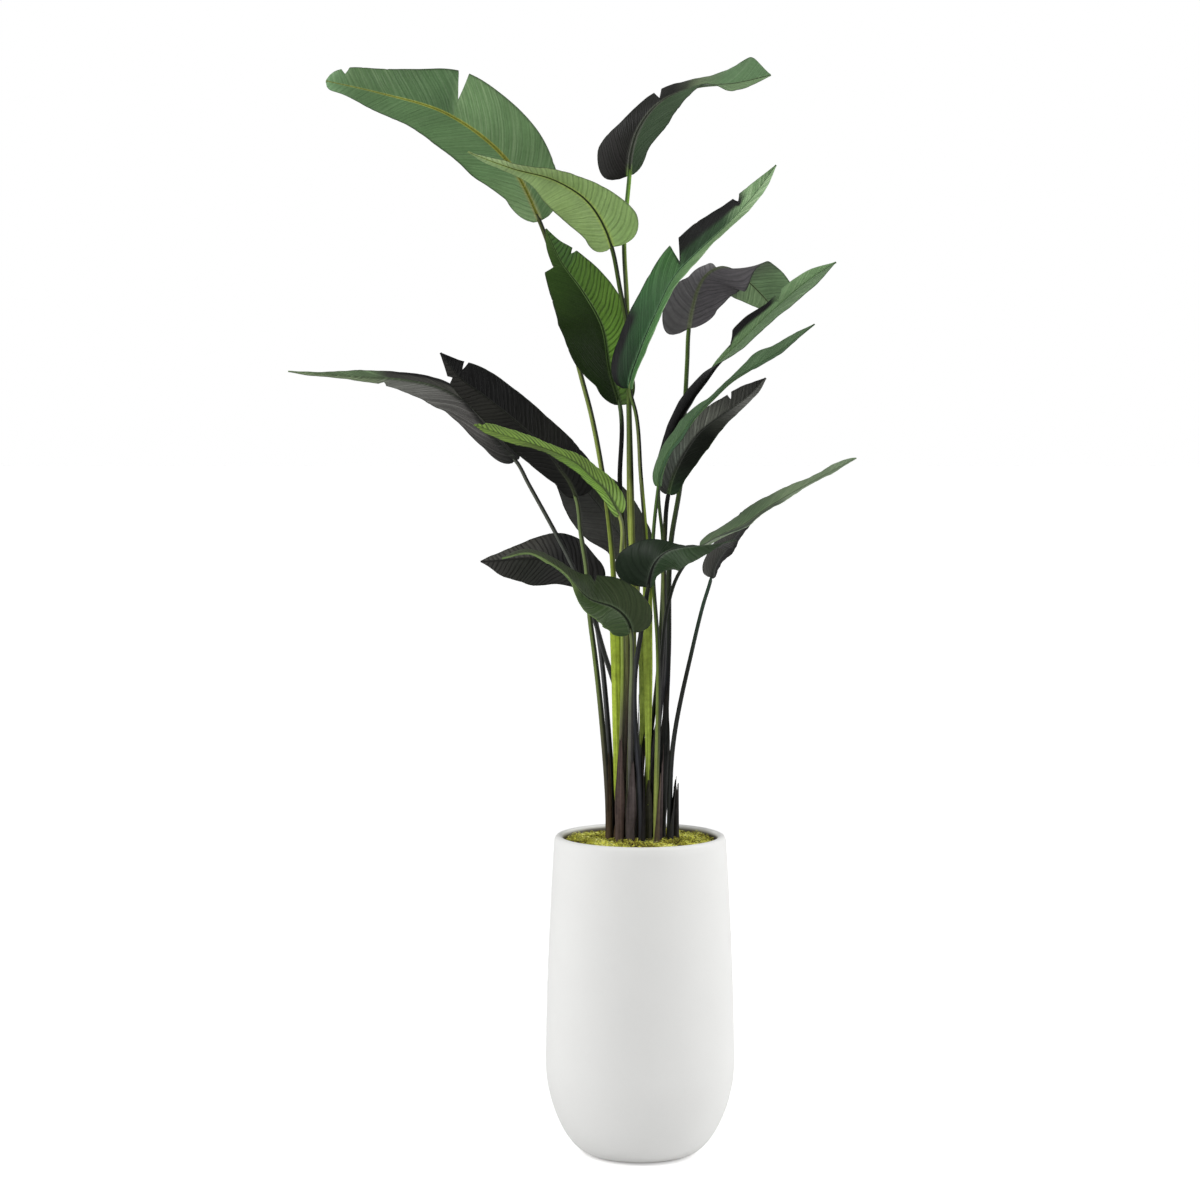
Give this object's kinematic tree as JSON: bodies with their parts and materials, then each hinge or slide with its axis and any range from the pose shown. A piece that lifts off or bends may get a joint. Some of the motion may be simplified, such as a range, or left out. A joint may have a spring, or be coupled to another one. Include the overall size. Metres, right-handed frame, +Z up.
{
  "type": "potted travelers palm",
  "caption": "Tall potted travelers palm: long bare stems with torn, paddle-shaped blades fan out of a round-bellied planter filled with soil and moss.",
  "frame": {"origin": "centre of the planter's flat base, on the floor", "axes": "+Z up along the planter's axis; the fan of fronds spreads along X; -Y faces the viewer"},
  "size_m": [1.1191, 0.4748, 2.1376],
  "materials": {
    "planter": "matte",
    "soil": "rough, crumbly",
    "moss": "rough, fibrous",
    "leaf_green": "satin",
    "leaf_light": "satin",
    "leaf_dark": "satin",
    "sheath": "rough"
  },
  "bodies": {
    "root": {"planter": "planter", "soil": "soil", "moss": "moss", "frond_top_left": "leaf_green", "frond_top_middle": "leaf_light", "frond_top_right": "leaf_green", "frond_centre_left": "leaf_green", "frond_centre_right": "leaf_green", "frond_upper_right": "leaf_dark", "frond_long_right": "leaf_green", "frond_narrow_right": "leaf_green", "frond_dark_right": "leaf_dark", "frond_low_right_dark": "leaf_dark", "frond_low_right_green": "leaf_green", "frond_front_right": "leaf_green", "frond_front_left": "leaf_green", "frond_light_left": "leaf_light", "frond_dark_left": "leaf_dark", "frond_far_left": "leaf_dark", "frond_behind_stems": "leaf_dark", "frond_low_left_dark": "leaf_dark", "sheath_stub_right": "sheath", "sheath_stub_left": "sheath"}
  },
  "joints": []
}
